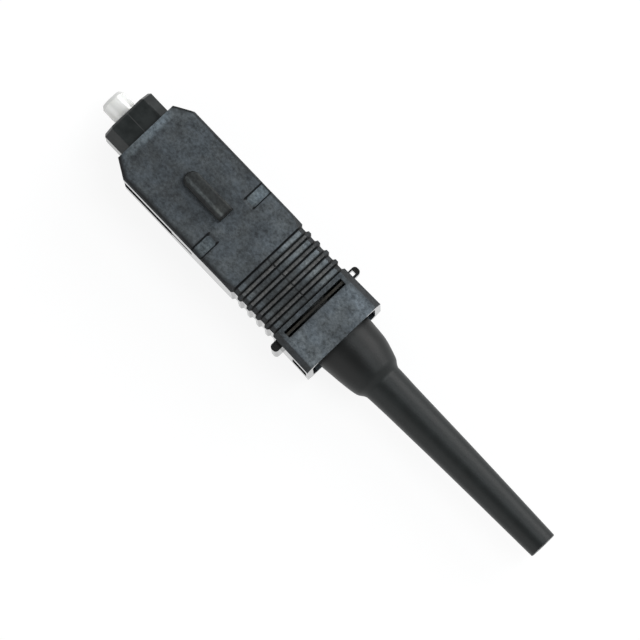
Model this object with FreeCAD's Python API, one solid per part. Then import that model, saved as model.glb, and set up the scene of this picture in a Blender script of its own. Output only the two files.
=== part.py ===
import FreeCAD, Part
import math
import os

# SC push-pull fibre connector plug with a smooth strain relief boot, in millimetres.
#
# X points out of the mating end, Y runs across the wide face, and Z points up through the key.
# The origin is the centre of the inner frame's front face, on the ferrule's axis.
# Every piece is modelled where it sits in an unmated plug, and each is written to parts/ by its name.

V = FreeCAD.Vector
AXIS_X = V(1, 0, 0)

# Fits: the gap left all round, or at one face.
press_gap = 0.01        # bonded or pressed round fits
running_gap = 0.06      # the flange's collar in the frame's bore
sliding_gap = 0.1       # the grip on the inner frame, and the boot in the grip
seat_gap = 0.1          # faces that stop short of each other along X
overrun = 1.0           # how far a cutting solid runs past what it cuts
root_depth = 0.05       # how far a joined solid sits inside what it stands on

# Ferrule.
ferrule_diameter = 2.5
ferrule_length = 10.5
ferrule_stickout = 2.2          # in front of the inner frame
ferrule_tip_taper = 0.35        # along the axis
ferrule_tip_taper_depth = 0.24
ferrule_dome_radius = 20.0
fibre_bore_diameter = 0.126
fibre_funnel_diameter = 0.9
fibre_funnel_length = 1.0
retention_groove_length = 0.6
retention_groove_depth = 0.2

# Inner frame, the square body that the adapter latches onto.
frame_length = 18.6
frame_width = 5.8
frame_height = 5.7
frame_corner = 0.93             # 45 degree chamfer on its long edges
frame_nose_bevel = 0.22
frame_bore_diameter = 4.8
sleeve_cavity_depth = 5.2       # takes the adapter's alignment sleeve
web_thickness = 0.7             # the wall that stops the flange
web_bore_diameter = 3.5
collar_width = 7.2              # wider rear end that the grip holds
collar_length = 3.0
latch_ramp_start = 3.0          # behind the front face
latch_shoulder = 6.2            # behind the front face
latch_rise = 0.6
latch_height = 2.6
guide_rib_start = 1.0
guide_rib_width = 0.16
guide_rib_rise = 0.06
flange_key_width = 0.7
flange_key_rise = 0.42
flange_key_length = 1.4
snap_window_length = 1.6
snap_window_width = 1.8
snap_window_margin = 1.0        # wall left behind the window

# Flange that carries the ferrule.
flange_collar_length = 1.6
flange_notch_gap = 0.05
flange_notch_count = 4
flange_barrel_diameter = 3.0
flange_barrel_length = 4.0
flange_socket_depth = 2.2       # the buffer tube's seat in the barrel

# Buffer tube, from the flange back into the boot.
buffer_tube_diameter = 1.6
buffer_tube_bore = 1.1
buffer_tube_flare = 2.0         # diameter of its flared rear end
buffer_tube_flare_length = 0.8
buffer_tube_tail = 0.4          # end of the tube in front of the crimp sleeve's end

# Spring behind the ferrule.
spring_length = 6.5
spring_diameter = 4.3
spring_wire = 0.5
spring_turns = 6                # with the closed turn at each end
spring_closed_gap = 0.03        # between the wires of a closed turn
spring_sections = 12            # in each turn
spring_wire_sides = 8

# Spring stop, the rear body that snaps into the inner frame.
stop_flange_thickness = 1.2
stop_flange_diameter = 5.7
stop_bore_diameter = 2.4
stop_barrel_diameter = 3.9
stop_barrel_length = 6.6
stop_tab_width = 1.5
stop_tab_rise = 0.42            # above the stop's front ring
crimp_groove_count = 4
crimp_groove_depth = 0.14
crimp_groove_width = 0.4
crimp_groove_pitch = 1.2

# Crimp sleeve over the stop's barrel.
crimp_wall = 0.33
crimp_large_length = 6.8
crimp_cone_length = 1.0
crimp_small_diameter = 3.0
crimp_small_bore = 2.2
crimp_small_length = 3.6

# Boot.
boot_neck_diameter = 5.5        # inside the grip's ribs
boot_neck_length = 5.6
boot_bulb_diameter = 6.16
boot_bulb_length = 3.7          # straight part of the bulb
boot_shoulder_length = 1.8      # slightly conical part
boot_shoulder_diameter = 5.84
boot_round_length = 2.15        # rounds over towards the tail
boot_round_diameter = 4.76
boot_step_length = 0.66
boot_tail_diameter = 3.92
boot_tail_waist = 3.73          # where the tail's even taper starts
boot_tail_waist_length = 2.5
boot_end_diameter = 2.82
boot_length = 34.9
boot_edge = 0.1                 # chamfer at the tail's end
boot_round_bulge = 0.1          # how far the round part stands out from a straight cone
boot_step_dip = 0.07            # and how far the step falls short of one
boot_tail_bore = 1.1
boot_funnel_length = 1.2

# Grip, the outer sleeve that is pushed and pulled.
grip_length = 26.2
grip_width = 9.0
grip_height = 7.4
grip_setback = 2.6              # behind the inner frame's front face, at rest
grip_pull = 1.0                 # travel back, to release
grip_push = 1.0                 # travel forward
front_taper_length = 1.8        # corner cut on both sides, seen from above
front_taper_width = 1.05
front_bevel_length = 0.35       # across the top and bottom front edges
front_bevel_depth = 0.12
plate_length = 16.0             # smooth part in front of the ribs
edge_break = 0.15               # chamfer on the long edges of the plate
edge_chamfer = 0.55             # on the long edges of the ribs and rear block
chamfer_runout = 1.1            # facet where that chamfer starts
rear_flare = 0.09               # how much wider each side of the rear end is
rib_count = 4
rib_top = 0.31
rib_flank = 0.17
valley_floor = 0.53
valley_depth = 0.3              # above and below
valley_side_depth = 0.22
parting_notch_width = 0.14
parting_notch_depth = 0.12
slot_margin = 0.42              # strip between the last valley and the slot
slot_length = 0.74              # along X, through the top wall only
slot_width = 7.1
slot_web_length = 0.26          # thin web along the middle of the slot
slot_web_drop = 0.2             # its top under the surface
slot_web_height = 0.22
ear_length = 0.86               # along X
ear_corner = 0.36
ear_root = 0.3                  # inside the grip's wall
lug_reach = 0.87                # the solid ear on the +Y side
lug_height = 5.0
loop_reach = 0.93               # the ear with a hole, on the -Y side
loop_height = 1.2
loop_top = 2.4                  # above the ferrule's axis
loop_front_wall = 0.16          # in front of its hole
loop_hole_length = 0.46         # along X
loop_hole_reach = 0.45
front_cavity_width = 7.4
front_cavity_corner = 0.4
window_length = 8.1             # open to the front
window_height = 3.2
slit_length = 2.6               # narrow slot behind the window
slit_height = 1.3
release_ramp_start = 6.1        # behind the grip's front face
release_ramp_length = 2.0
release_ramp_gap = 6.4          # between opposite ramps
rear_cavity_width = 7.8
rear_cavity_corner = 0.5
boot_cavity_height = 6.4
boot_cavity_margin = 0.4        # in front of the boot's bulb, besides the travel
catch_gap = 6.5                 # between the two catches behind the collar
catch_height = 3.0
catch_ramp_length = 1.3
grip_key_setback = 5.45         # behind the grip's front face
grip_key_length = 5.3
grip_key_width = 1.7
grip_key_height = 0.7
grip_key_edge = 0.22
thumb_notch_setback = 10.65
thumb_notch_length = 1.38
thumb_notch_reach = 2.45        # in from the side
thumb_notch_depth = 0.3
thumb_notch_flank = 0.15        # how far its sloping front and rear walls run
thumb_notch_run_out = 0.3       # how far its sloping inner end runs
thumb_notch_corner = 0.25
side_pocket_length = 1.9        # low-relief pocket in each side of the rear block
side_pocket_end = 0.23          # wall left behind it
side_pocket_height = 3.2
side_pocket_depth = 0.3
side_pocket_flank = 0.2         # how far its sloping ends run


def block(x_front, length, width, height, z_centre=0.0, y_centre=0.0):
    """A box behind x_front, centred on Y and Z."""
    corner = V(x_front - length, y_centre - width / 2, z_centre - height / 2)
    return Part.makeBox(length, width, height, corner)


def chamfered_section(x, width, height, corner):
    """A rectangle across the axis at x, with its four corners cut at 45 degrees."""
    half_y, half_z = width / 2, height / 2
    flat_y, flat_z = half_y - corner, half_z - corner
    outline = [
        (half_y, -flat_z), (half_y, flat_z), (flat_y, half_z), (-flat_y, half_z),
        (-half_y, flat_z), (-half_y, -flat_z), (-flat_y, -half_z), (flat_y, -half_z),
    ]
    points = [V(x, y, z) for y, z in outline]
    return Part.makePolygon(points + points[:1])


def stacked(stations):
    """One solid through chamfered sections, each given as (x, width, height, corner)."""
    return Part.makeLoft([chamfered_section(*station) for station in stations], True, True)


def prism(outline, direction):
    """A closed outline of points, extruded."""
    return Part.Face(Part.makePolygon(outline + outline[:1])).extrude(direction)


def plan_prism(outline, z_low, z_high):
    """An outline of (x, y) points, extruded upwards."""
    return prism([V(x, y, z_low) for x, y in outline], V(0, 0, z_high - z_low))


def side_prism(outline, width):
    """An outline of (x, z) points, extruded across Y and centred on it."""
    return prism([V(x, -width / 2, z) for x, z in outline], V(0, width, 0))


def turned(outline):
    """Revolve an outline about X. Its entries are (x, r), or (x, r, bulge) for an arc to that point."""
    edges = []
    last = None
    for entry in outline + outline[:1]:
        point = V(entry[0], entry[1], 0)
        if last is not None and (point - last).Length > 1e-7:
            bulge = entry[2] if len(entry) > 2 else 0
            if bulge:
                along = point - last
                middle = (last + point) * 0.5 + V(-along.y, along.x, 0).normalize() * bulge
                edges.append(Part.Arc(last, middle, point).toShape())
            else:
                edges.append(Part.LineSegment(last, point).toShape())
        last = point
    return Part.Face(Part.Wire(edges)).revolve(V(0, 0, 0), AXIS_X, 360)


def tube(x_front, length, outer, inner):
    """A round tube on the axis, behind x_front."""
    x_rear = x_front - length
    return turned([(x_front, inner / 2), (x_front, outer / 2), (x_rear, outer / 2), (x_rear, inner / 2)])


def rod(x_front, length, diameter):
    """A round bar on the axis, behind x_front."""
    return Part.makeCylinder(diameter / 2, length, V(x_front - length, 0, 0), AXIS_X)


def mirrored_y(shape):
    """The shape's copy on the other side of the XZ plane."""
    return shape.mirror(V(0, 0, 0), V(0, 1, 0))


def mirrored_z(shape):
    """The shape's copy on the other side of the XY plane."""
    return shape.mirror(V(0, 0, 0), V(0, 0, 1))


# Places along X that more than one piece uses.
web_front = -sleeve_cavity_depth
web_rear = web_front - web_thickness
flange_rear = web_rear - flange_collar_length
barrel_rear = flange_rear - flange_barrel_length
stop_front = flange_rear - spring_length
frame_rear = -frame_length
collar_front = frame_rear + collar_length
stop_flange_rear = frame_rear - stop_flange_thickness
stop_barrel_rear = stop_flange_rear - stop_barrel_length
crimp_front = stop_flange_rear - seat_gap
crimp_cone_front = crimp_front - crimp_large_length
crimp_cone_rear = crimp_cone_front - crimp_cone_length
crimp_rear = crimp_cone_rear - crimp_small_length
boot_front = stop_flange_rear - seat_gap
boot_bulb_front = boot_front - boot_neck_length
grip_front = -grip_setback
grip_rear = grip_front - grip_length
plate_rear = grip_front - plate_length

# Sizes that follow from two pieces.
flange_collar_diameter = frame_bore_diameter - 2 * running_gap
flange_hub_diameter = web_bore_diameter - 2 * sliding_gap
stop_ring_diameter = frame_bore_diameter - 2 * sliding_gap
crimp_bore = stop_barrel_diameter + 2 * press_gap
crimp_diameter = crimp_bore + 2 * crimp_wall
grip_cavity_height = frame_height + 2 * sliding_gap


def make_ferrule():
    """Zirconia rod with a tapered, domed tip, a fibre bore and a groove that the flange grips."""
    radius = ferrule_diameter / 2
    bore = fibre_bore_diameter / 2
    rear = ferrule_stickout - ferrule_length
    face_radius = radius - ferrule_tip_taper_depth
    dome = ferrule_dome_radius - math.sqrt(ferrule_dome_radius ** 2 - face_radius ** 2)
    taper_front = ferrule_stickout - dome
    groove_front = web_front
    groove_rear = groove_front - retention_groove_length
    groove_radius = radius - retention_groove_depth
    return turned([
        (ferrule_stickout, bore),
        (taper_front, face_radius, dome / 4),
        (ferrule_stickout - ferrule_tip_taper, radius),
        (groove_front, radius),
        (groove_front, groove_radius),
        (groove_rear, groove_radius),
        (groove_rear, radius),
        (rear, radius),
        (rear, fibre_funnel_diameter / 2),
        (rear + fibre_funnel_length, bore),
    ])


def make_ferrule_flange():
    """Moulded hub on the ferrule: it seats on the frame's web and its notches stop it turning."""
    hub_front = web_front + seat_gap
    rear = ferrule_stickout - ferrule_length
    bore = ferrule_diameter / 2 + press_gap
    groove_front = web_front - press_gap
    groove_rear = web_front - retention_groove_length + press_gap
    groove_radius = ferrule_diameter / 2 - retention_groove_depth + press_gap
    socket_front = barrel_rear + flange_socket_depth
    socket = buffer_tube_diameter / 2 + press_gap
    body = turned([
        (hub_front, bore),
        (hub_front, flange_hub_diameter / 2),
        (web_rear, flange_hub_diameter / 2),
        (web_rear, flange_collar_diameter / 2),
        (flange_rear, flange_collar_diameter / 2),
        (flange_rear, flange_barrel_diameter / 2),
        (barrel_rear, flange_barrel_diameter / 2),
        (barrel_rear, socket),
        (socket_front, socket),
        (socket_front, fibre_funnel_diameter / 2),
        (rear - press_gap, fibre_funnel_diameter / 2),
        (rear - press_gap, bore),
        (groove_rear, bore),
        (groove_rear, groove_radius),
        (groove_front, groove_radius),
        (groove_front, bore),
    ])
    notch_depth = flange_key_rise + flange_notch_gap - running_gap
    notch = block(
        web_rear + overrun, flange_collar_length + 2 * overrun,
        2 * notch_depth, flange_key_width + 2 * flange_notch_gap,
        y_centre=flange_collar_diameter / 2,
    )
    for index in range(flange_notch_count):
        turned_notch = notch.copy()
        turned_notch.rotate(V(0, 0, 0), AXIS_X, 360 * index / flange_notch_count)
        body = body.cut(turned_notch)
    return body


def make_buffer_tube():
    """Thin guide tube for the coated fibre, flared at the rear to help it in."""
    front = barrel_rear + flange_socket_depth - press_gap
    rear = crimp_rear + buffer_tube_tail
    flare_front = rear + buffer_tube_flare_length
    bore = buffer_tube_bore / 2
    outer = buffer_tube_diameter / 2
    flare = buffer_tube_flare / 2
    return turned([
        (front, bore),
        (front, outer),
        (flare_front, outer),
        (rear, flare),
        (rear, flare - (outer - bore)),
        (flare_front, bore),
    ])


def spring_advance(turn):
    """How far along X the wire's centre is after so many turns: slow in the closed end turns."""
    span = spring_length - spring_wire
    closed = spring_wire + spring_closed_gap
    if turn <= 1:
        return closed * turn
    if turn >= spring_turns - 1:
        return span - closed * (spring_turns - turn)
    return closed + (span - 2 * closed) * (turn - 1) / (spring_turns - 2)


def make_ferrule_spring():
    """Compression spring with a closed turn at each end, lofted through sections of its wire."""
    coil_radius = (spring_diameter - spring_wire) / 2
    corners = []
    for index in range(spring_wire_sides):
        angle = math.pi * (2 * index + 1) / spring_wire_sides
        corners.append(V(math.cos(angle), math.sin(angle), 0) * (spring_wire / 2) + V(0, coil_radius, 0))
    first_section = Part.makePolygon(corners + corners[:1])
    sections = []
    for index in range(spring_turns * spring_sections + 1):
        turn = index / spring_sections
        section = first_section.copy()
        section.rotate(V(0, 0, 0), AXIS_X, 360 * turn)
        section.translate(V(stop_front + spring_wire / 2 + spring_advance(turn), 0, 0))
        sections.append(section)
    return Part.makeLoft(sections, True, True)


def make_plug_frame():
    """The inner frame: a square nose, latch shoulders, a web across the bore and a rear collar."""
    nose_width = frame_width - 2 * frame_nose_bevel
    nose_height = frame_height - 2 * frame_nose_bevel
    body = stacked([
        (0, nose_width, nose_height, frame_corner),
        (-frame_nose_bevel, frame_width, frame_height, frame_corner),
        (frame_rear, frame_width, frame_height, frame_corner),
    ])
    collar = block(collar_front, collar_length, collar_width, frame_height - 2 * frame_corner)
    latch_outline = [
        (-latch_ramp_start, frame_width / 2 - frame_nose_bevel),
        (-latch_ramp_start, frame_width / 2),
        (-latch_shoulder + latch_rise, frame_width / 2 + latch_rise),
        (-latch_shoulder, frame_width / 2 + latch_rise),
        (-latch_shoulder, frame_width / 2 - frame_nose_bevel),
    ]
    latch = plan_prism(latch_outline, -latch_height / 2, latch_height / 2)
    guide_rib = block(
        -guide_rib_start, frame_length - guide_rib_start, guide_rib_width, 2 * guide_rib_rise,
        z_centre=frame_height / 2, y_centre=-(frame_width / 2 - frame_corner),
    )
    body = body.fuse([collar, latch, mirrored_y(latch), guide_rib])
    sleeve_cavity = rod(overrun, overrun + sleeve_cavity_depth, frame_bore_diameter)
    web_bore = rod(overrun, overrun + frame_length, web_bore_diameter)
    rear_bore = rod(web_rear, frame_length, frame_bore_diameter)
    flange_key = block(
        web_rear, flange_key_length, flange_key_rise, flange_key_width,
        y_centre=(frame_bore_diameter - flange_key_rise) / 2,
    )
    rear_bore = rear_bore.cut([flange_key, mirrored_y(flange_key)])
    snap_window = block(
        frame_rear + snap_window_margin + snap_window_length, snap_window_length,
        snap_window_width, frame_height + 2 * overrun,
    )
    return body.cut([sleeve_cavity, web_bore, rear_bore, snap_window])


def make_spring_stop():
    """Rear body: a ring and two barbed tabs in the inner frame, a flange, and a grooved barrel."""
    ring = stop_ring_diameter / 2
    barrel = stop_barrel_diameter / 2
    bore = stop_bore_diameter / 2
    body = turned([
        (stop_front, bore),
        (stop_front, ring),
        (frame_rear, ring),
        (frame_rear, stop_flange_diameter / 2),
        (stop_flange_rear, stop_flange_diameter / 2),
        (stop_flange_rear, barrel),
        (stop_barrel_rear, barrel),
        (stop_barrel_rear, bore),
    ])
    tab_rear = frame_rear + snap_window_margin + seat_gap
    tab_front = tab_rear + snap_window_length - 2 * seat_gap
    tab = side_prism([
        (tab_front, bore + seat_gap),
        (tab_front, ring),
        (tab_rear, ring + stop_tab_rise),
        (tab_rear, bore + seat_gap),
    ], stop_tab_width)
    body = body.fuse([tab, mirrored_z(tab)])
    first_groove = stop_flange_rear - crimp_groove_pitch
    grooves = [
        tube(first_groove - index * crimp_groove_pitch, crimp_groove_width,
             stop_barrel_diameter + overrun, stop_barrel_diameter - 2 * crimp_groove_depth)
        for index in range(crimp_groove_count)
    ]
    return body.cut(grooves)


def make_crimp_sleeve():
    """Stepped tube crimped over the stop's barrel, with a narrow rear end for the coated fibre."""
    wide, wide_bore = crimp_diameter / 2, crimp_bore / 2
    narrow, narrow_bore = crimp_small_diameter / 2, crimp_small_bore / 2
    return turned([
        (crimp_front, wide_bore),
        (crimp_front, wide),
        (crimp_cone_front, wide),
        (crimp_cone_rear, narrow),
        (crimp_rear, narrow),
        (crimp_rear, narrow_bore),
        (crimp_cone_rear, narrow_bore),
        (crimp_cone_front, wide_bore),
    ])


def make_boot():
    """Rubber strain relief: a bell over the crimp sleeve that rounds over into a slim tail."""
    bulb_rear = boot_bulb_front - boot_bulb_length
    shoulder_rear = bulb_rear - boot_shoulder_length
    round_rear = shoulder_rear - boot_round_length
    step_rear = round_rear - boot_step_length
    waist = step_rear - boot_tail_waist_length
    rear = boot_front - boot_length
    lip = (boot_bulb_diameter - boot_neck_diameter) / 2
    crimp_space = crimp_diameter / 2 + press_gap
    narrow_space = crimp_small_diameter / 2 + press_gap
    cavity_rear = crimp_rear - seat_gap
    funnel_rear = cavity_rear - boot_funnel_length
    bore = boot_tail_bore / 2
    tail_end = boot_end_diameter / 2
    return turned([
        (boot_front, crimp_space),
        (boot_front, boot_neck_diameter / 2),
        (boot_bulb_front, boot_neck_diameter / 2),
        (boot_bulb_front - lip, boot_bulb_diameter / 2),
        (bulb_rear, boot_bulb_diameter / 2),
        (shoulder_rear, boot_shoulder_diameter / 2),
        (round_rear, boot_round_diameter / 2, -boot_round_bulge),
        (step_rear, boot_tail_diameter / 2, boot_step_dip),
        (waist, boot_tail_waist / 2),
        (rear + boot_edge, tail_end),
        (rear, tail_end - boot_edge),
        (rear, bore),
        (funnel_rear, bore),
        (cavity_rear, narrow_space),
        (crimp_cone_rear, narrow_space),
        (crimp_cone_front, crimp_space),
    ])


def grip_stations():
    """Sections of the grip's outside from front to rear: the plate, the ribs and the rear block."""
    low_width = grip_width - 2 * valley_side_depth
    low_height = grip_height - 2 * valley_depth
    low_corner = edge_chamfer - valley_depth / 3
    stations = [
        (grip_front, grip_width, grip_height, edge_break),
        (plate_rear + chamfer_runout, grip_width, grip_height, edge_break),
        (plate_rear, grip_width, grip_height, edge_chamfer),
    ]
    x = plate_rear
    for index in range(rib_count + 1):
        x -= rib_flank
        stations.append((x, low_width, low_height, low_corner))
        x -= valley_floor
        stations.append((x, low_width, low_height, low_corner))
        x -= rib_flank
        stations.append((x, grip_width, grip_height, edge_chamfer))
        if index < rib_count:
            x -= rib_top
            stations.append((x, grip_width, grip_height, edge_chamfer))
    stations.append((grip_rear, grip_width + 2 * rear_flare, grip_height, edge_chamfer))
    return stations


def make_ear(x_front, reach, z_low, z_high):
    """A side lug on the +Y side, with its outer upright edges rounded."""
    side = grip_width / 2
    x_rear = x_front - ear_length
    outer = side + reach
    root = side - ear_root
    ear = plan_prism([(x_front, root), (x_front, outer), (x_rear, outer), (x_rear, root)], z_low, z_high)
    outer_edges = [
        edge for edge in ear.Edges
        if abs(edge.Vertexes[0].Y - outer) < 1e-6 and abs(edge.Vertexes[1].Y - outer) < 1e-6
        and abs(edge.Vertexes[0].Z - edge.Vertexes[1].Z) > 1e-6
    ]
    return ear.makeFillet(min(ear_corner, ear_length / 2 - 0.01), outer_edges)


def make_loop_ear(x_front):
    """The thin ear on the -Y side, with an upright hole next to the grip's wall."""
    ear = make_ear(x_front, loop_reach, loop_top - loop_height, loop_top)
    hole = block(
        x_front - loop_front_wall, loop_hole_length, loop_hole_reach, loop_height + 2 * overrun,
        z_centre=loop_top - loop_height / 2, y_centre=(grip_width + loop_hole_reach) / 2,
    )
    return mirrored_y(ear.cut(hole))


def make_grip_key():
    """The raised key on the top face, rounded at the front and square at the rear."""
    front = grip_front - grip_key_setback
    rear = front - grip_key_length
    half = grip_key_width / 2
    base = grip_height / 2 - root_depth
    outline = Part.Wire([
        Part.Arc(V(front - half, half, base), V(front, 0, base), V(front - half, -half, base)).toShape(),
        Part.LineSegment(V(front - half, -half, base), V(rear, -half, base)).toShape(),
        Part.LineSegment(V(rear, -half, base), V(rear, half, base)).toShape(),
        Part.LineSegment(V(rear, half, base), V(front - half, half, base)).toShape(),
    ])
    key = Part.Face(outline).extrude(V(0, 0, grip_key_height + root_depth))
    top = grip_height / 2 + grip_key_height
    top_edges = [
        edge for edge in key.Edges
        if abs(edge.BoundBox.ZMin - top) < 1e-6 and edge.BoundBox.XMax > rear + 1e-6
    ]
    return key.makeFillet(grip_key_edge, top_edges)


def make_front_cavity():
    """The space in the grip for the inner frame and the adapter's hooks, less the release ramps."""
    stop_x = collar_front + grip_pull
    cavity = stacked([
        (grip_front + overrun, front_cavity_width, grip_cavity_height, front_cavity_corner),
        (stop_x, front_cavity_width, grip_cavity_height, front_cavity_corner),
    ])
    ramp_start = grip_front - release_ramp_start
    outside = front_cavity_width / 2 + overrun
    ramp = plan_prism(
        [
            (ramp_start, front_cavity_width / 2),
            (ramp_start - release_ramp_length, release_ramp_gap / 2),
            (stop_x - overrun, release_ramp_gap / 2),
            (stop_x - overrun, outside),
            (ramp_start, outside),
        ],
        window_height / 2, grip_cavity_height,
    )
    ramps = [ramp, mirrored_y(ramp), mirrored_z(ramp), mirrored_y(mirrored_z(ramp))]
    return cavity.cut(ramps)


def make_rear_cavity():
    """The space for the frame's collar and the boot, less the two catches behind the collar."""
    stop_x = collar_front + grip_pull
    boot_space_front = boot_bulb_front + grip_pull + boot_cavity_margin
    cavity = stacked([
        (stop_x, rear_cavity_width, grip_cavity_height, rear_cavity_corner),
        (grip_rear - overrun, rear_cavity_width, grip_cavity_height, rear_cavity_corner),
    ])
    boot_space = stacked([
        (boot_space_front, rear_cavity_width, boot_cavity_height, rear_cavity_corner),
        (grip_rear - overrun, rear_cavity_width, boot_cavity_height, rear_cavity_corner),
    ])
    catch_front = frame_rear - grip_push
    catch_outline = [
        (catch_front, catch_gap / 2),
        (catch_front, rear_cavity_width / 2 + overrun),
        (catch_front - catch_ramp_length, rear_cavity_width / 2 + overrun),
        (catch_front - catch_ramp_length, rear_cavity_width / 2),
    ]
    catch = plan_prism(catch_outline, -catch_height / 2, catch_height / 2)
    return cavity.fuse(boot_space).cut([catch, mirrored_y(catch)])


def front_corner_cuts():
    """Wedges that take the grip's front corners off, at the sides and along the top and bottom."""
    side = grip_width / 2
    top = grip_height / 2
    corner = plan_prism(
        [
            (grip_front, side - front_taper_width),
            (grip_front - front_taper_length, side),
            (grip_front - front_taper_length, side + overrun),
            (grip_front + overrun, side + overrun),
            (grip_front + overrun, side - front_taper_width),
        ],
        -grip_height, grip_height,
    )
    bevel = side_prism(
        [
            (grip_front, top - front_bevel_depth),
            (grip_front - front_bevel_length, top),
            (grip_front - front_bevel_length, top + overrun),
            (grip_front + overrun, top + overrun),
            (grip_front + overrun, top - front_bevel_depth),
        ],
        2 * grip_width,
    )
    return [corner, mirrored_y(corner), bevel, mirrored_z(bevel)]


def notch_outline(shrink_x, shrink_y, z):
    """One thumb notch's outline at z: open past the +Y side, with two rounded corners at its inner end."""
    front = grip_front - thumb_notch_setback - shrink_x
    rear = grip_front - thumb_notch_setback - thumb_notch_length + shrink_x
    inner = grip_width / 2 - thumb_notch_reach + shrink_y
    outer = grip_width / 2 + overrun
    corner = thumb_notch_corner
    bend = corner * (1 - math.sqrt(0.5))
    return Part.Wire([
        Part.LineSegment(V(front, outer, z), V(front, inner + corner, z)).toShape(),
        Part.Arc(
            V(front, inner + corner, z),
            V(front - bend, inner + bend, z),
            V(front - corner, inner, z),
        ).toShape(),
        Part.LineSegment(V(front - corner, inner, z), V(rear + corner, inner, z)).toShape(),
        Part.Arc(
            V(rear + corner, inner, z),
            V(rear + bend, inner + bend, z),
            V(rear, inner + corner, z),
        ).toShape(),
        Part.LineSegment(V(rear, inner + corner, z), V(rear, outer, z)).toShape(),
        Part.LineSegment(V(rear, outer, z), V(front, outer, z)).toShape(),
    ])


def thumb_notch_cuts():
    """Flat-floored notches in the long edges, above and below, with sloping walls."""
    top = grip_height / 2
    floor = notch_outline(thumb_notch_flank, thumb_notch_run_out, top - thumb_notch_depth)
    mouth = notch_outline(0, 0, top)
    above = Part.Face(mouth).extrude(V(0, 0, overrun))
    notch = Part.makeLoft([floor, mouth], True, True).fuse(above)
    return [notch, mirrored_y(notch), mirrored_z(notch), mirrored_y(mirrored_z(notch))]


def side_pocket_cuts():
    """Shallow pockets in both sides of the rear block, with sloping ends."""
    side = grip_width / 2
    rear = grip_rear + side_pocket_end
    front = rear + side_pocket_length
    outer = side + rear_flare
    floor = side - side_pocket_depth
    pocket = plan_prism(
        [
            (rear, outer + overrun),
            (rear, outer),
            (rear + side_pocket_flank, floor),
            (front - side_pocket_flank, floor),
            (front, outer),
            (front, outer + overrun),
        ],
        -side_pocket_height / 2, side_pocket_height / 2,
    )
    return [pocket, mirrored_y(pocket)]


def side_window_cuts():
    """Slots through both sides: a window for the adapter's hooks and a narrow slit behind it."""
    window = block(
        grip_front + overrun, window_length + overrun, grip_width + 2 * overrun, window_height)
    slit = block(
        grip_front - window_length + seat_gap, slit_length + seat_gap,
        grip_width + 2 * overrun, slit_height)
    return [window, slit]


def make_outer_housing():
    """The grip: one moulding with its key, ribs, slots, side lugs, ramps and catches."""
    body = stacked(grip_stations())
    rib_zone = (rib_count + 1) * (valley_floor + 2 * rib_flank) + rib_count * rib_top
    slot_front = plate_rear - rib_zone - slot_margin
    ear_front = slot_front + (ear_length - slot_length) / 2
    lug = make_ear(ear_front, lug_reach, -lug_height / 2, lug_height / 2)
    cuts = [make_front_cavity(), make_rear_cavity()]
    cuts += front_corner_cuts() + thumb_notch_cuts() + side_window_cuts() + side_pocket_cuts()
    slot = block(
        slot_front, slot_length, slot_width, grip_height / 2 + overrun,
        z_centre=(grip_height / 2 + overrun) / 2,
    )
    web = block(
        slot_front - (slot_length - slot_web_length) / 2, slot_web_length,
        slot_width, slot_web_height,
        z_centre=grip_height / 2 - slot_web_drop - slot_web_height / 2,
    )
    cuts.append(slot.cut(web))
    parting = block(
        plate_rear, rib_zone, parting_notch_width, 2 * parting_notch_depth,
        z_centre=grip_height / 2,
    )
    cuts += [parting, mirrored_z(parting)]
    body = body.cut(cuts)
    return body.fuse([lug, make_loop_ear(ear_front), make_grip_key()])


PIECES = {
    "outer_housing": make_outer_housing,
    "plug_frame": make_plug_frame,
    "ferrule": make_ferrule,
    "ferrule_flange": make_ferrule_flange,
    "ferrule_spring": make_ferrule_spring,
    "buffer_tube": make_buffer_tube,
    "spring_stop": make_spring_stop,
    "crimp_sleeve": make_crimp_sleeve,
    "boot": make_boot,
}


def main():
    os.makedirs("parts", exist_ok=True)
    for name, make in PIECES.items():
        shape = make().removeSplitter()
        solids = shape.Solids
        print(f"{name}: {len(solids)} solid, {shape.Volume:.3f} mm3, valid {shape.isValid()}")
        result = solids[0] if len(solids) == 1 else shape
        result.exportStep(f"parts/{name}.step")


main()
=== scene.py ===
import math

import bmesh
import bpy
from mathutils import Matrix, Vector


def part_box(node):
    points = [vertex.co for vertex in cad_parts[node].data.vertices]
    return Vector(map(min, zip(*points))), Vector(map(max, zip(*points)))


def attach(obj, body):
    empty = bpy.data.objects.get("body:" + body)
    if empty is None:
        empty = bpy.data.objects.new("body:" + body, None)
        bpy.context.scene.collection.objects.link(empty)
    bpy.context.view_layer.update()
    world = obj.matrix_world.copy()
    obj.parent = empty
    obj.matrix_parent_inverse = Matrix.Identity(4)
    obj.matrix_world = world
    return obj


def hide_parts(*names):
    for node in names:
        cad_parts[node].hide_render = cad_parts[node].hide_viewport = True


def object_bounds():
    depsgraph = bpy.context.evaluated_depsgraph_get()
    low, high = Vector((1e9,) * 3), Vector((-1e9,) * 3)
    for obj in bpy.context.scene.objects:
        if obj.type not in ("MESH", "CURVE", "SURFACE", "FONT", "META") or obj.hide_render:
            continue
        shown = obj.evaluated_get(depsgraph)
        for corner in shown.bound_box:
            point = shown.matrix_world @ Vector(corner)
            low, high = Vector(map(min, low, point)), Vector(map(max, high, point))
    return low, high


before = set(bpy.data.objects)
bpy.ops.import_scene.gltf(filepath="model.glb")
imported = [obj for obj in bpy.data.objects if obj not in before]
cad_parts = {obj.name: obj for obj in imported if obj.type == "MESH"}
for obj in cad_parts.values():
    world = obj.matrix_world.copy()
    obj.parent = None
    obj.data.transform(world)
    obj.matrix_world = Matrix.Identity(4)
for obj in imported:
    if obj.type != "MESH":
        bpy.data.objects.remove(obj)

MM = 0.001
cad_box = [list(corner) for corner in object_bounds()]

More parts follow.
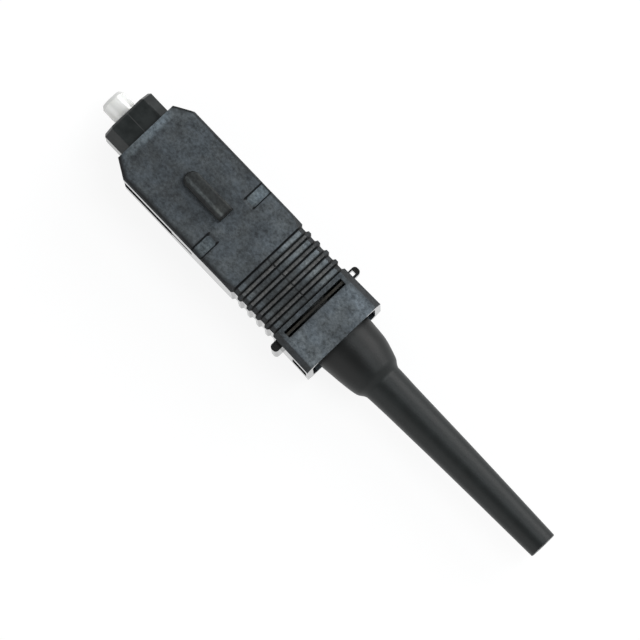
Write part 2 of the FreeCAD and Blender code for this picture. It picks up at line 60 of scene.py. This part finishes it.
# Camera: a long lens almost straight above the wide face, a little towards the boot and +Y.
CAMERA_HEIGHT = 670 * MM
CAMERA_BACK = 78.7 * MM         # behind the mating face
CAMERA_SIDE = 40.8 * MM         # towards +Y
AIM = Vector((-25.8 * MM, 0.19 * MM, 0))
AXIS_ANGLE = 46.19              # of the plug's axis above the picture's horizontal, in degrees
VIEW_WIDTH = 58.49 * MM         # seen across the picture at the aim's distance
SENSOR = 36.0                   # camera units, millimetres

# Places on the object, in millimetres, worked out from the frame.
grip_low, grip_high = (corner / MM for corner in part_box("outer_housing"))
boot_front_end = (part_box("boot")[1] / MM).x
ferrule_tip = (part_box("ferrule")[1] / MM).x
grip_front = grip_high.x
grip_rear = grip_low.x
grip_top = -grip_low.z          # the key stands above it, so the underside gives it
GRIP_SIDE = 4.5                 # the plate's long edges
WALL_SIDE = 4.15                # the outer side walls are farther out than this
TAPER_WIDTH = 1.05              # corner cut at the grip's front end
TAPER_LENGTH = 1.8
ribs_front = grip_front - 16.0
RIB_COUNT = 4
RIB_PITCH = 1.18
RIB_TOP = 0.31                  # one rib's flat top, along the axis
ribs_rear = ribs_front - (RIB_COUNT + 1) * RIB_PITCH + RIB_TOP
key_rear = grip_front - 10.75
KEY_LENGTH = 5.3
slot_front = ribs_rear - 0.42
slot_rear = slot_front - 0.74


def make_camera():
    """Looks at the plug's middle, turned so that the ferrule points to the upper left."""
    data = bpy.data.cameras.new("camera")
    camera = bpy.data.objects.new("camera", data)
    bpy.context.scene.collection.objects.link(camera)
    place = Vector((-CAMERA_BACK, CAMERA_SIDE, CAMERA_HEIGHT))
    back = (place - AIM).normalized()
    axis = Vector((1, 0, 0))
    axis = (axis - axis.dot(back) * back).normalized()
    across = back.cross(axis)
    turn = math.radians(AXIS_ANGLE)
    right = -math.cos(turn) * axis - math.sin(turn) * across
    up = math.sin(turn) * axis - math.cos(turn) * across
    rotation = Matrix((right, up, back)).transposed().to_4x4()
    camera.matrix_world = Matrix.Translation(place) @ rotation
    data.sensor_width = SENSOR
    data.lens = SENSOR * (place - AIM).length / VIEW_WIDTH
    data.clip_start, data.clip_end = 0.01, 10
    bpy.context.scene.camera = camera


# Materials. Their patterns use the object's own coordinates in millimetres, so they move with it.


class Nodes:
    """Short calls for building one material's node tree."""

    def __init__(self, name):
        self.material = bpy.data.materials.new(name)
        self.material.use_nodes = True
        self.tree = self.material.node_tree
        self.shader = self.tree.nodes["Principled BSDF"]

    def add(self, kind, **settings):
        node = self.tree.nodes.new(kind)
        for key, value in settings.items():
            if key in node.inputs:
                node.inputs[key].default_value = value
            else:
                setattr(node, key, value)
        return node

    def link(self, source, target):
        self.tree.links.new(source, target)

    def feed(self, value, target):
        """Links a socket, or sets a plain value."""
        if isinstance(value, bpy.types.NodeSocket):
            self.link(value, target)
        elif hasattr(value, "__len__"):
            target.default_value = (*value, 1)
        else:
            target.default_value = value

    def set(self, **values):
        for name, value in values.items():
            self.shader.inputs[name.replace("_", " ")].default_value = value

    def place(self):
        """The object's own coordinates, in millimetres."""
        node = self.add("ShaderNodeVectorMath", operation="SCALE", Scale=1 / MM)
        self.link(self.add("ShaderNodeTexCoord").outputs["Object"], node.inputs[0])
        return node.outputs[0]

    def normal(self):
        return self.add("ShaderNodeTexCoord").outputs["Normal"]

    def split(self, vector):
        node = self.add("ShaderNodeSeparateXYZ")
        self.link(vector, node.inputs[0])
        return node.outputs

    def math(self, operation, a, b=0.0):
        node = self.add("ShaderNodeMath", operation=operation)
        self.feed(a, node.inputs[0])
        self.feed(b, node.inputs[1])
        return node.outputs[0]

    def noise(self, vector, size, detail=3.0, roughness=0.55, stretch=(1, 1, 1)):
        """Noise whose features are about that many millimetres."""
        mapping = self.add("ShaderNodeMapping")
        mapping.inputs["Scale"].default_value = [s / size for s in stretch]
        self.link(vector, mapping.inputs["Vector"])
        texture = self.add("ShaderNodeTexNoise", Scale=1.0, Detail=detail, Roughness=roughness)
        self.link(mapping.outputs["Vector"], texture.inputs["Vector"])
        return texture.outputs["Fac"]

    def spread(self, value, low, high, start=0.0, end=1.0, smooth=False):
        """The value's start to end turned into low to high."""
        node = self.add("ShaderNodeMapRange")
        node.interpolation_type = "SMOOTHSTEP" if smooth else "LINEAR"
        for name, number in (("From Min", start), ("From Max", end), ("To Min", low), ("To Max", high)):
            node.inputs[name].default_value = number
        self.link(value, node.inputs["Value"])
        return node.outputs["Result"]

    def step(self, value, start, end):
        """0 up to start and 1 from end on, smoothly."""
        if start < end:
            return self.spread(value, 0, 1, start, end, smooth=True)
        return self.spread(value, 1, 0, end, start, smooth=True)

    def shade(self, value, *stops):
        """A grey curve through (value, shade) points."""
        first, last = stops[0][0], stops[-1][0]
        node = self.add("ShaderNodeValToRGB")
        elements = node.color_ramp.elements
        while len(elements) < len(stops):
            elements.new(0.5)
        for element, (position, grey) in zip(elements, stops):
            element.position = (position - first) / (last - first)
            element.color = (grey, grey, grey, 1)
        self.link(self.spread(value, 0, 1, first, last), node.inputs["Fac"])
        return node.outputs["Color"]

    def mix(self, factor, a, b, blend="MIX"):
        """Between two colours or colour sockets."""
        node = self.add("ShaderNodeMix", data_type="RGBA", blend_type=blend)
        for value, target in ((factor, node.inputs[0]), (a, node.inputs[6]), (b, node.inputs[7])):
            self.feed(value, target)
        return node.outputs[2]

    def both(self, a, b):
        """The product of two masks."""
        return self.math("MULTIPLY", a, b)

    def times(self, colour, by):
        """The product of two colours."""
        return self.mix(1.0, colour, by, "MULTIPLY")

    def tint(self, mask, colour, by):
        """The colour, multiplied by another one where the mask is 1."""
        return self.mix(mask, colour, self.times(colour, by))

    def relief(self, height, depth, bevel=0.0, strength=1.0):
        """Bump of that depth in metres, over edges rounded by the bevel's radius."""
        node = self.add("ShaderNodeBump", Distance=depth)
        self.feed(strength, node.inputs["Strength"])
        self.link(height, node.inputs["Height"])
        if bevel:
            edge = self.add("ShaderNodeBevel", samples=6, Radius=bevel)
            self.link(edge.outputs["Normal"], node.inputs["Normal"])
        self.link(node.outputs["Normal"], self.shader.inputs["Normal"])


class GripPlaces:
    """Where a shaded point is on the grip, in millimetres, and which way it faces, from 0 to 1."""

    def __init__(self, m, place):
        self.x, self.y, z = m.split(place)
        self.side = m.math("ABSOLUTE", self.y)
        self.height = m.math("ABSOLUTE", z)
        facing = m.split(m.normal())
        self.upright = m.math("ABSOLUTE", facing[2])
        self.forward = m.math("ABSOLUTE", facing[0])
        self.flat = m.step(self.upright, 0.80, 0.90)
        outer_side = m.step(self.side, WALL_SIDE, WALL_SIDE + 0.05)
        rear_end = m.step(self.x, grip_rear + 0.1, grip_rear + 0.05)
        self.wall = m.both(m.step(self.upright, 0.15, 0.08), m.math("MAXIMUM", outer_side, rear_end))
        behind_front = m.step(self.x, ribs_front + 0.02, ribs_front - 0.02)
        self.ribs = m.both(behind_front, m.step(self.x, ribs_rear, ribs_rear + 0.04))
        self.low = m.both(m.step(self.height, grip_top - 0.1, grip_top - 0.2), self.flat)


def paint_length(m, at, colour):
    """Along the axis: painted sheen that makes the rear block paler, and a painted highlight behind the
    front edge.
    """
    # Painted sheen and shade along the axis.
    along = m.shade(
        at.x, (grip_rear, 1.35), (slot_rear - 0.3, 1.25), (slot_rear, 0.9), (slot_front, 0.85),
        (ribs_front, 1.1), (ribs_front + 2.0, 1.15), (grip_front - 6.4, 0.85), (grip_front, 0.95))
    colour = m.times(colour, along)
    # A painted highlight behind the front edge.
    front_highlight = m.both(m.step(at.x, grip_front - 0.95, grip_front - 0.5), m.step(at.side, 3.4, 2.0))
    return m.tint(m.both(front_highlight, at.flat), colour, (2.25, 2.3, 2.3))


def paint_plate(m, at, colour):
    """Painted light and shade on the flat faces: a slow change from side to side, and a dark band inside
    the outline's edge, wider on the +Y side.
    """
    # Painted light and shade from side to side.
    across = m.shade(
        at.y, (-GRIP_SIDE, 1.1), (-3.2, 1.15), (-1.5, 0.98), (2.0, 0.90), (3.4, 1.0), (GRIP_SIDE, 0.9))
    behind = m.math("SUBTRACT", grip_front, at.x)
    cut = m.math("SUBTRACT", TAPER_WIDTH, m.math("MULTIPLY", behind, TAPER_WIDTH / TAPER_LENGTH))
    edge = m.math("SUBTRACT", GRIP_SIDE, at.side)
    inward = m.math("SUBTRACT", edge, m.math("MAXIMUM", cut))
    inward = m.math("MULTIPLY", inward, m.spread(at.y, 1.0, 0.48, -0.1, 0.1))
    # Painted shade along the outline's edges.
    edge_shade = m.shade(inward, (0, 0.08), (0.12, 0.12), (0.3, 1), (1, 1))
    return m.mix(at.flat, colour, m.times(m.times(colour, across), edge_shade))


def paint_rear(m, at, colour):
    """Painted sheen and shade: the rear block is palest a little inside its long edges."""
    across = m.shade(
        at.y, (-4.4, 0.5), (-4.05, 0.8), (-3.6, 1.5), (-2.0, 1.12), (0, 0.92), (2.0, 1.15), (3.6, 1.5),
        (4.4, 0.5))
    return m.tint(m.both(at.flat, m.step(at.x, slot_rear, slot_rear - 0.2)), colour, across)


def paint_floors(m, at, colour):
    """Painted sheen makes the floors of the valleys and notches bluish and pale towards -Y, and the notches
    paler on +Y. Painted shade makes the slot's web dark.
    """
    # Painted sheen on the low floors.
    shade = m.shade(at.y, (-4.4, 1.8), (-2.2, 1.7), (-0.8, 0.72), (0.8, 0.66), (2.6, 0.8), (4.4, 1.0))
    colour = m.mix(at.low, colour, m.times(m.times(colour, shade), (0.92, 1.04, 1.12)))
    # Painted shade on the slot's web.
    behind_front = m.step(at.x, slot_front, slot_front - 0.1)
    web = m.both(m.step(at.x, slot_rear, slot_rear + 0.1), behind_front)
    colour = m.tint(m.both(web, at.low), colour, (0.26, 0.19, 0.13))
    notches = m.math("SUBTRACT", at.low, at.ribs)
    # Painted light: the notches' floors are paler on the +Y side.
    colour = m.tint(m.both(notches, m.step(at.y, 0, 1)), colour, (1.7, 1.7, 1.7))
    return m.tint(notches, colour, (1.08, 1.0, 0.93))


def paint_ribs(m, at, colour):
    """Warm tops, and painted shade on the flanks and on the floors of the valleys at the foot of each next
    rib.
    """
    colour = m.tint(m.both(at.ribs, at.flat), colour, (1.45, 1.26, 1.13))
    turn = m.math("FRACT", m.math("DIVIDE", m.math("SUBTRACT", ribs_front, at.x), RIB_PITCH))
    # Painted shade on the flanks and at each next rib's foot, repeating with the ribs.
    valley_shade = m.shade(
        turn, (0, 0.3), (0.16, 0.4), (0.22, 1), (0.47, 1), (0.55, 0.3), (0.76, 0.3), (0.82, 1), (1, 1))
    colour = m.tint(at.ribs, colour, valley_shade)
    # A dark parting mark crosses the ribs.
    mark = m.both(at.ribs, m.step(at.side, 0.13, 0.04))
    colour = m.tint(mark, colour, (0.45, 0.45, 0.45))
    # Painted light and shade: on the +Y side the valleys darken, then end in a paler area.
    patch_light_and_shade = m.shade(at.y, (2.5, 1.0), (2.95, 0.7), (3.1, 1.35), (3.6, 1.3), (3.9, 0.9))
    return m.tint(m.both(at.ribs, at.low), colour, patch_light_and_shade)


def paint_key(m, at, colour):
    """The key is warmer, with painted shade that darkens it, most at its rear and front, and a painted
    highlight along it.
    """
    key = m.step(at.height, grip_top + 0.1, grip_top + 0.4)
    # Painted shade over the key, with a painted highlight in a line along it.
    streak_light_and_shade = m.shade(at.y, (-0.9, 0.52), (0.08, 0.46), (0.22, 1.2), (0.38, 1.05), (0.5, 0.3), (0.9, 0.15))
    # Painted shade at the key's rear and front.
    end_shade = m.shade(
        at.x, (key_rear, 0.1), (key_rear + 0.16, 0.1), (key_rear + 0.3, 1),
        (key_rear + KEY_LENGTH - 0.3, 1), (key_rear + KEY_LENGTH, 0.5))
    colour = m.mix(key, colour, m.times(m.times(colour, streak_light_and_shade), end_shade))
    return m.tint(key, colour, (0.98, 0.93, 0.84))


def paint_slope_shade(m, at, colour):
    """Painted shade: the ribs' flanks and the notches' walls are darkest."""
    slopes = m.both(m.step(at.upright, 0.12, 0.3), m.step(at.upright, 0.88, 0.78))
    steep = m.both(slopes, m.step(at.forward, 0.2, 0.5))
    outer = m.both(slopes, m.step(at.side, 3.6, 3.9))
    colour = m.tint(m.math("MAXIMUM", steep, outer), colour, (0.3, 0.3, 0.3))
    return m.tint(steep, colour, (0.4, 0.4, 0.4))


def grip_plastic():
    """Mottled black plastic with a grey sheen and polished side walls, and painted light and shade: pale
    bluish floors, dark slopes.
    """
    m = Nodes("grip_plastic")
    place = m.place()
    at = GripPlaces(m, place)
    fine = m.noise(place, 0.24, detail=3, roughness=0.6, stretch=(0.85, 1, 1))
    cloud = m.noise(place, 1.0, detail=4, roughness=0.65)
    slow = m.noise(place, 3.5, detail=2)
    speckle = m.mix(0.40, m.spread(fine, 0, 1, 0.33, 0.67), m.spread(cloud, 0, 1, 0.35, 0.65))
    speckle = m.mix(at.wall, speckle, m.spread(speckle, 0.35, 0.55))
    colour = m.mix(speckle, (0.021, 0.025, 0.028), (0.098, 0.114, 0.127))
    colour = m.times(colour, m.spread(slow, 0.80, 1.20, 0.35, 0.65))
    hue = m.spread(m.noise(place, 1.6, detail=2), 0, 1, 0.40, 0.60)
    colour = m.times(colour, m.mix(hue, (1.02, 1.0, 0.97), (0.98, 1.0, 1.02)))
    for paint in (paint_length, paint_plate, paint_rear, paint_floors, paint_ribs, paint_key, paint_slope_shade):
        colour = paint(m, at, colour)
    m.link(colour, m.shader.inputs["Base Color"])
    m.link(m.mix(at.wall, m.spread(slow, 0.42, 0.54), (0.12, 0.12, 0.12)), m.shader.inputs["Roughness"])
    m.set(Specular_IOR_Level=0.25)
    m.relief(speckle, 0.012 * MM, bevel=0.05 * MM, strength=m.spread(at.wall, 1.0, 0.05))
    return m.material


def nose_plastic():
    """Glossy black moulding with a faint parting line along the middle."""
    m = Nodes("frame_plastic")
    place = m.place()
    cloud = m.noise(place, 1.1, detail=3)
    fine = m.noise(place, 0.15, detail=3)
    colour = m.mix(m.spread(cloud, 0, 1, 0.35, 0.65), (0.012, 0.015, 0.015), (0.025, 0.029, 0.029))
    line = m.step(m.math("ABSOLUTE", m.split(place)[1]), 0.05, 0.02)
    colour = m.mix(line, colour, (0.05, 0.052, 0.052))
    m.link(colour, m.shader.inputs["Base Color"])
    m.link(m.spread(cloud, 0.14, 0.24), m.shader.inputs["Roughness"])
    m.set(Specular_IOR_Level=0.29)
    m.relief(fine, 0.002 * MM, bevel=0.04 * MM)
    return m.material


def rubber():
    """Soft black rubber with a fine matt grain and rubbed, slightly paler clouds."""
    m = Nodes("boot_rubber")
    place = m.place()
    fine = m.noise(place, 0.10, detail=4, roughness=0.6)
    cloud = m.noise(place, 1.6, detail=4, roughness=0.6)
    colour = m.mix(m.spread(cloud, 0, 1, 0.3, 0.7), (0.0062, 0.0080, 0.0080), (0.0110, 0.0138, 0.0140))
    # Painted shade: the collar under the grip is darker than the tail.
    shoulder = boot_front_end - SHOULDER[0]
    collar_shade = m.spread(m.split(place)[0], 1.05, 0.35, shoulder - COLLAR_FADE, shoulder)
    m.link(m.times(colour, collar_shade), m.shader.inputs["Base Color"])
    m.link(m.spread(cloud, 0.38, 0.48), m.shader.inputs["Roughness"])
    m.set(Specular_IOR_Level=0.27)
    m.relief(fine, 0.004 * MM)
    return m.material


def ceramic():
    """Polished white zirconia, with painted shade that greys it round its tip."""
    m = Nodes("zirconia")
    place = m.place()
    cloud = m.noise(place, 1.5)
    colour = m.mix(m.spread(cloud, 0, 1, 0.3, 0.7), (0.985, 0.985, 0.915), (0.995, 0.995, 0.94))
    # Painted shade round the tapered tip.
    tip = m.step(m.split(place)[0], ferrule_tip - 0.45, ferrule_tip - 0.30)
    colour = m.mix(tip, colour, (0.72, 0.72, 0.70))
    m.link(colour, m.shader.inputs["Base Color"])
    m.link(m.spread(cloud, 0.12, 0.2), m.shader.inputs["Roughness"])
    m.set(IOR=2.1, Subsurface_Weight=0.5, Subsurface_Scale=2.5 * MM)
    m.shader.inputs["Subsurface Radius"].default_value = (1.0, 1.0, 0.95)
    return m.material


def plain_plastic(name, dark, light, roughness):
    """Moulded plastic with a fine grain and a slow change of shade."""
    m = Nodes(name)
    place = m.place()
    fine = m.noise(place, 0.12, detail=4)
    slow = m.noise(place, 2.2, detail=3)
    m.link(m.mix(m.spread(slow, 0, 1, 0.3, 0.7), dark, light), m.shader.inputs["Base Color"])
    m.link(m.spread(slow, roughness - 0.06, roughness + 0.06), m.shader.inputs["Roughness"])
    m.relief(fine, 0.004 * MM)
    return m.material


def metal(name, dark, light, roughness):
    """Plated or drawn metal with fine marks round the axis."""
    m = Nodes(name)
    marks = m.noise(m.place(), 0.3, stretch=(6, 1, 1))
    m.link(m.mix(m.spread(marks, 0, 1, 0.3, 0.7), dark, light), m.shader.inputs["Base Color"])
    m.link(m.spread(marks, roughness - 0.05, roughness + 0.1), m.shader.inputs["Roughness"])
    m.set(Metallic=1.0)
    m.relief(marks, 0.003 * MM)
    return m.material


def dress(node, material):
    """Gives a CAD node its material."""
    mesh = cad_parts[node].data
    mesh.materials.clear()
    mesh.materials.append(material)


def dress_nodes():
    """Every CAD node but the boot, which its finer skin replaces."""
    dress("outer_housing", grip_plastic())
    dress("plug_frame", nose_plastic())
    dress("ferrule", ceramic())
    dress("ferrule_flange", plain_plastic("flange_plastic", (0.02, 0.02, 0.02), (0.03, 0.03, 0.03), 0.4))
    dress("ferrule_spring", metal("spring_steel", (0.42, 0.42, 0.40), (0.60, 0.60, 0.58), 0.25))
    dress("buffer_tube", plain_plastic("guide_tube", (0.70, 0.70, 0.68), (0.80, 0.80, 0.78), 0.35))
    dress("spring_stop", metal("nickelled_brass", (0.55, 0.52, 0.46), (0.70, 0.68, 0.62), 0.25))
    dress("crimp_sleeve", metal("crimp_metal", (0.58, 0.53, 0.42), (0.72, 0.68, 0.58), 0.3))


# The boot: a fine round mesh close to the CAD solid's outline, its soft tail leaning a little.

BOOT_SIDES = 96
BOOT_STEP = 0.25                # longest piece of the outline, millimetres
BOOT_LENGTH = 34.9
CREASE = 13.38                  # behind the boot's front end, like all distances here
CREASE_DEPTH = 0.05
CREASE_WIDTH = 0.12

# Radius at so many millimetres behind the front end, from the neck to the tail's end.
NECK = (5.6, 2.75)
BULB_FRONT = (5.93, 3.08)
BULB = (9.3, 3.08)
SHOULDER = (11.1, 2.92)
ROUND = (13.40, 2.40)
STEP = (14.0, 1.98)
WAIST = (16.41, 1.88)
TAIL_END = (BOOT_LENGTH, 1.41)
TAIL_EDGE = 0.06                # chamfer at the tail's end
ROUND_BULGE = 0.045             # how far these two arcs leave their chords
STEP_DIP = 0.05
ARC_PARTS = 8
SHARP_ANGLE = 35                # degrees between faces with a sharp edge
COLLAR_FADE = 3.0               # the painted shade of the collar stops so far behind the shoulder

# The soft moulding isn't quite straight: how far its middle is towards +Y at some distances.
BEND = [
    (7.0, 0.0), (11.1, -0.08), (13.2, 0.03), (14.6, -0.01), (17.3, -0.055), (24.0, -0.165),
    (BOOT_LENGTH, -0.25)]

# The hollow: the tail's bore, then room for the crimp sleeve's narrow end and for the sleeve.
INSIDE = [(BOOT_LENGTH, 0.55), (12.7, 0.55), (11.5, 1.51), (7.8, 1.51), (6.8, 2.30), (0, 2.30)]


def arc_points(start, end, bulge):
    """Points on a shallow arc between two (distance, radius) points."""
    dx, dr = end[0] - start[0], end[1] - start[1]
    length = math.hypot(dx, dr)
    points = []
    for index in range(1, ARC_PARTS + 1):
        t = index / ARC_PARTS
        rise = 4 * bulge * t * (1 - t)
        points.append((start[0] + dx * t - rise * dr / length, start[1] + dr * t + rise * dx / length))
    return points


def boot_outline():
    """The outside as (distance, radius) points."""
    outside = [(0, NECK[1]), NECK, BULB_FRONT, BULB, SHOULDER]
    outside += arc_points(SHOULDER, ROUND, ROUND_BULGE)
    outside += arc_points(ROUND, STEP, -STEP_DIP)
    outside += [WAIST, (TAIL_END[0] - TAIL_EDGE, TAIL_END[1]), (TAIL_END[0], TAIL_END[1] - TAIL_EDGE)]
    return outside


def divided(points):
    """The same outline with its long runs cut into short ones."""
    result = [points[0]]
    for start, end in zip(points, points[1:]):
        length = math.hypot(end[0] - start[0], end[1] - start[1])
        count = max(1, math.ceil(length / BOOT_STEP))
        for index in range(1, count + 1):
            t = index / count
            result.append((start[0] + (end[0] - start[0]) * t, start[1] + (end[1] - start[1]) * t))
    return result


def bend_at(distance):
    """The middle's sideways place, on a smooth curve through BEND."""
    if distance <= BEND[0][0]:
        return BEND[0][1]
    last = len(BEND) - 1
    index = max(i for i in range(last) if BEND[i][0] <= distance)

    def slope(i):
        before, after = BEND[max(i - 1, 0)], BEND[min(i + 1, last)]
        return 0 if i == 0 else (after[1] - before[1]) / (after[0] - before[0])

    (start, low), (end, high) = BEND[index], BEND[index + 1]
    span = end - start
    t = (distance - start) / span
    return (
        low * (2 * t ** 3 - 3 * t ** 2 + 1)
        + high * (3 * t ** 2 - 2 * t ** 3)
        + span * slope(index) * (t ** 3 - 2 * t ** 2 + t)
        + span * slope(index + 1) * (t ** 3 - t ** 2))


def boot_point(distance, radius, angle, outside):
    """A point of the boot in metres, with the crease and the bend."""
    if outside:
        radius -= CREASE_DEPTH * math.exp(-((distance - CREASE) / CREASE_WIDTH) ** 2)
    y = radius * math.cos(angle) + bend_at(distance)
    return Vector((boot_front_end - distance, y, radius * math.sin(angle))) * MM


def make_boot(material):
    """The boot's outside and hollow as one closed skin of rings."""
    rings = [(d, r, True) for d, r in divided(boot_outline())]
    rings += [(d, r, False) for d, r in divided(INSIDE)]
    mesh = bmesh.new()
    rows = []
    for distance, radius, is_outside in rings:
        angles = [2 * math.pi * index / BOOT_SIDES for index in range(BOOT_SIDES)]
        rows.append([mesh.verts.new(boot_point(distance, radius, angle, is_outside)) for angle in angles])
    for row, following in zip(rows, rows[1:] + rows[:1]):
        for index in range(BOOT_SIDES):
            other = (index + 1) % BOOT_SIDES
            mesh.faces.new((row[index], row[other], following[other], following[index]))
    bmesh.ops.recalc_face_normals(mesh, faces=mesh.faces)
    data = bpy.data.meshes.new("smooth_boot")
    mesh.to_mesh(data)
    mesh.free()
    data.shade_smooth()
    data.set_sharp_from_angle(angle=math.radians(SHARP_ANGLE))
    data.materials.append(material)
    boot = bpy.data.objects.new("smooth_boot", data)
    bpy.context.scene.collection.objects.link(boot)
    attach(boot, "inner_body")
    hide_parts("boot")


# Stage and light

WORLD_LEVEL = 0.36              # light that the world gives, where 1 is white
CEILING = (0.55, 0.85)          # reflections dim between these heights of the view direction
FLOOR_HALF = 2.0                # half the floor's width, metres
FLOOR_GAP = 0.05 * MM           # under the grip, so that the two faces don't share a place
FLOOR_SEEN = (0.16, 0.16, 0.16)  # the seen floor's colour, on which the shadow falls
FLOOR_GLOW = 0.88               # its own light, which makes it white


def make_floor():
    """A pale floor that the camera and reflections see as white, with the plug's soft shadow."""
    low = cad_box[0][2] - FLOOR_GAP
    mesh = bpy.data.meshes.new("floor")
    corners = [(x * FLOOR_HALF, y * FLOOR_HALF, low) for x, y in ((-1, -1), (1, -1), (1, 1), (-1, 1))]
    mesh.from_pydata(corners, [], [(0, 1, 2, 3)])
    floor = bpy.data.objects.new("floor", mesh)
    bpy.context.scene.collection.objects.link(floor)
    m = Nodes("floor")
    rays = m.add("ShaderNodeLightPath").outputs
    seen = m.math("MAXIMUM", rays["Is Camera Ray"], rays["Is Glossy Ray"])
    seen = m.math("MAXIMUM", seen, rays["Is Transmission Ray"])
    paper = m.noise(m.place(), 40)
    pale = m.mix(paper, (0.79, 0.79, 0.79), (0.81, 0.81, 0.81))
    m.link(m.mix(seen, pale, FLOOR_SEEN), m.shader.inputs["Base Color"])
    m.set(Roughness=0.9, Specular_IOR_Level=0.0)
    m.shader.inputs["Emission Color"].default_value = (1, 1, 1, 1)
    m.link(m.math("MULTIPLY", seen, FLOOR_GLOW), m.shader.inputs["Emission Strength"])
    # Clear from below, so that the underside can be seen.
    above = m.math("SUBTRACT", 1.0, m.add("ShaderNodeNewGeometry").outputs["Backfacing"])
    m.link(above, m.shader.inputs["Alpha"])
    floor.data.materials.append(m.material)


def make_world():
    """Even light. The camera and reflections see a white backdrop all round under a dimmer ceiling."""
    world = bpy.data.worlds.new("studio")
    bpy.context.scene.world = world
    world.use_nodes = True
    nodes, links = world.node_tree.nodes, world.node_tree.links
    background = nodes["Background"]
    background.inputs["Color"].default_value = (1, 1, 1, 1)
    split = nodes.new("ShaderNodeSeparateXYZ")
    links.new(nodes.new("ShaderNodeTexCoord").outputs["Generated"], split.inputs[0])
    ceiling = nodes.new("ShaderNodeMapRange")
    for name, value in zip(("From Min", "From Max", "To Min", "To Max"), (*CEILING, 1.0, WORLD_LEVEL)):
        ceiling.inputs[name].default_value = value
    links.new(split.outputs[2], ceiling.inputs["Value"])
    rays = nodes.new("ShaderNodeLightPath").outputs
    white = nodes.new("ShaderNodeValue").outputs[0]
    white.default_value = 1.0
    strength = nodes.new("ShaderNodeValue").outputs[0]
    strength.default_value = WORLD_LEVEL
    levels = {"Glossy": ceiling.outputs[0], "Transmission": white, "Camera": white}
    for kind, level in levels.items():
        choice = nodes.new("ShaderNodeMix")
        links.new(rays[f"Is {kind} Ray"], choice.inputs[0])
        links.new(strength, choice.inputs[2])
        links.new(level, choice.inputs[3])
        strength = choice.outputs[0]
    links.new(strength, background.inputs["Strength"])


def make_light(name, place, size, power, colour=(1, 1, 1)):
    """A round softbox that faces the plug's middle."""
    data = bpy.data.lights.new(name, "AREA")
    data.shape = "DISK"
    data.size = size
    data.energy = power
    data.color = colour
    light = bpy.data.objects.new(name, data)
    bpy.context.scene.collection.objects.link(light)
    light.location = place
    light.rotation_mode = "QUATERNION"
    light.rotation_quaternion = (AIM - Vector(place)).to_track_quat("-Z", "Y")


def make_lights():
    """Places and sizes in metres, powers in watts."""
    make_light("top", (-0.16, -0.22, 0.58), size=0.34, power=1.3, colour=(0.93, 0.98, 1.0))
    make_light("side", (-0.10, -0.50, 0.25), size=0.45, power=1.7)
    make_light("fill", (0.0, 0.50, 0.24), size=0.50, power=0.33)


make_camera()
make_floor()
make_world()
make_lights()
dress_nodes()
make_boot(rubber())
bpy.context.scene.view_settings.view_transform = "Standard"
